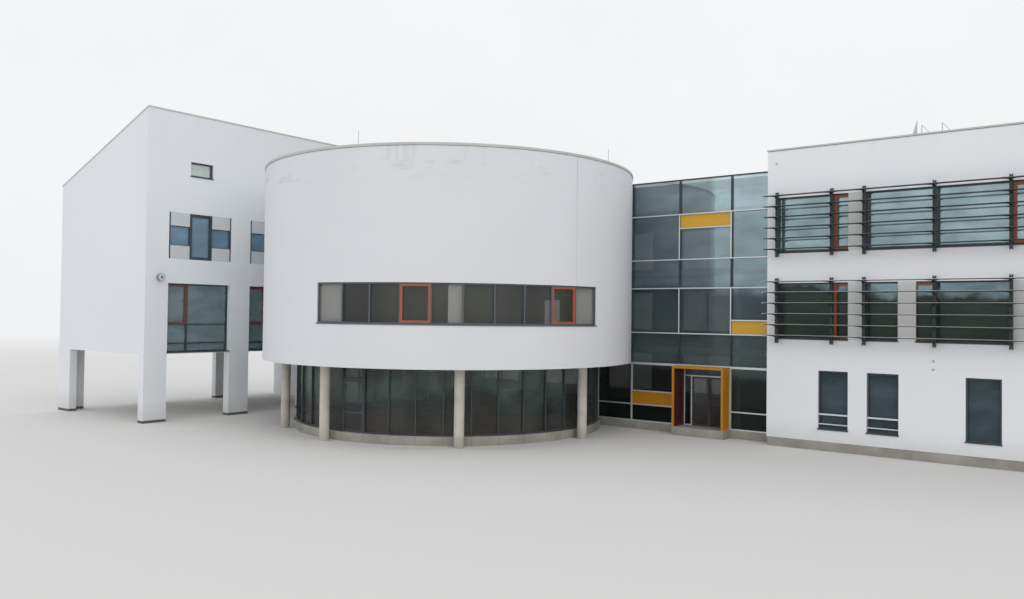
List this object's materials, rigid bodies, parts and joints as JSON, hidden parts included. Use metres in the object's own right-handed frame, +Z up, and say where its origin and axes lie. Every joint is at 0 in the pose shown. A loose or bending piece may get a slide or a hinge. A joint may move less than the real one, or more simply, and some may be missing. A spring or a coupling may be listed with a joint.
{
  "type": "town hall building, scale model 1:2",
  "caption": "Town hall with a white drum on columns, a glazed hall with entrance portal, a louvred office wing and a long block on piers; half-size scale model.",
  "frame": {"origin": "centre of the building's box, on the lowest ground", "axes": "+X to the right along the street front, +Y back from the street, +Z up"},
  "size_m": [23.857, 12.694, 7.2593],
  "materials": {
    "white_render": "fine mineral render, painted matt white",
    "concrete": "smooth fair-faced concrete",
    "roof_sheet": "matt grey roof sheet",
    "dark_metal": "satin anthracite powder coat",
    "light_metal": "satin anodised",
    "blade_metal": "satin anodised",
    "glass": "clear insulating glass with a faint green tint",
    "ochre_panel": "satin ochre coating",
    "white_panel": "satin white coating",
    "entrance_metal": "satin dark brown coating",
    "red_lining": "satin burgundy coating",
    "orange_wood": "orange-brown stained",
    "grey_panel": "satin light grey coating"
  },
  "bodies": {
    "building": {"wing_plinth": "concrete", "wing_front_wall": "white_render", "wing_front_ground": "white_render", "wing_back_wall": "white_render", "wing_back_ground": "white_render", "wing_end_walls": "white_render", "wing_floors": "concrete", "wing_roof": "roof_sheet", "wing_window_frames": "dark_metal", "wing_glass": "glass", "wing_panels": "white_panel", "louvre_posts": "dark_metal", "louvre_brackets": "dark_metal", "louvre_blades": "blade_metal", "hall_plinth": "concrete", "hall_frame": "dark_metal", "hall_caps": "light_metal", "hall_ground_frame": "light_metal", "hall_glass": "glass", "hall_panels": "ochre_panel", "hall_column": "concrete", "hall_floors": "concrete", "hall_roof": "roof_sheet", "hall_back_wall": "white_render", "hall_back_frames": "dark_metal", "portal_frame": "ochre_panel", "portal_lining": "red_lining", "entrance_screen": "light_metal", "drum_side_walls": "white_render", "drum_wall_back": "white_render", "drum_apron": "white_render", "drum_front_wall": "white_render", "drum_roof": "roof_sheet", "drum_floor": "concrete", "drum_window_frame": "dark_metal", "drum_window_glass": "glass", "drum_columns": "concrete", "drum_plinth": "concrete", "drum_base_frame": "dark_metal", "drum_base_glass": "glass", "drum_door_frame": "dark_metal", "left_front_wall": "white_render", "left_gable_wall": "white_render", "left_west_wall": "white_render", "left_cross_walls": "white_render", "left_floors": "concrete", "left_roof": "roof_sheet", "left_window_frames": "dark_metal", "left_glass": "glass", "left_panels": "grey_panel", "orange_casements": "orange_wood", "copings": "light_metal", "roof_rods": "light_metal", "wall_lamp": "dark_metal"},
    "entrance_left": {"entrance_leaf_left": "entrance_metal", "leaf_left_glass": "glass"},
    "entrance_right": {"entrance_leaf_right": "entrance_metal", "leaf_right_glass": "glass"},
    "drum_door": {"drum_door": "dark_metal", "drum_door_glass": "glass"}
  },
  "joints": [
    {"name": "entrance_left_hinge", "type": "hinge", "parent": "building", "child": "entrance_left", "pos_m": [2.285, 0.829, 0.18], "axis": [0, 0, -1], "range_deg": [0, 90]},
    {"name": "entrance_right_hinge", "type": "hinge", "parent": "building", "child": "entrance_right", "pos_m": [3.105, 0.829, 0.18], "axis": [0, 0, 1], "range_deg": [0, 90]},
    {"name": "drum_door_hinge", "type": "hinge", "parent": "building", "child": "drum_door", "pos_m": [-2.05465, -4.88626, 0.18], "axis": [0, 0, 1], "range_deg": [0, 90]}
  ]
}
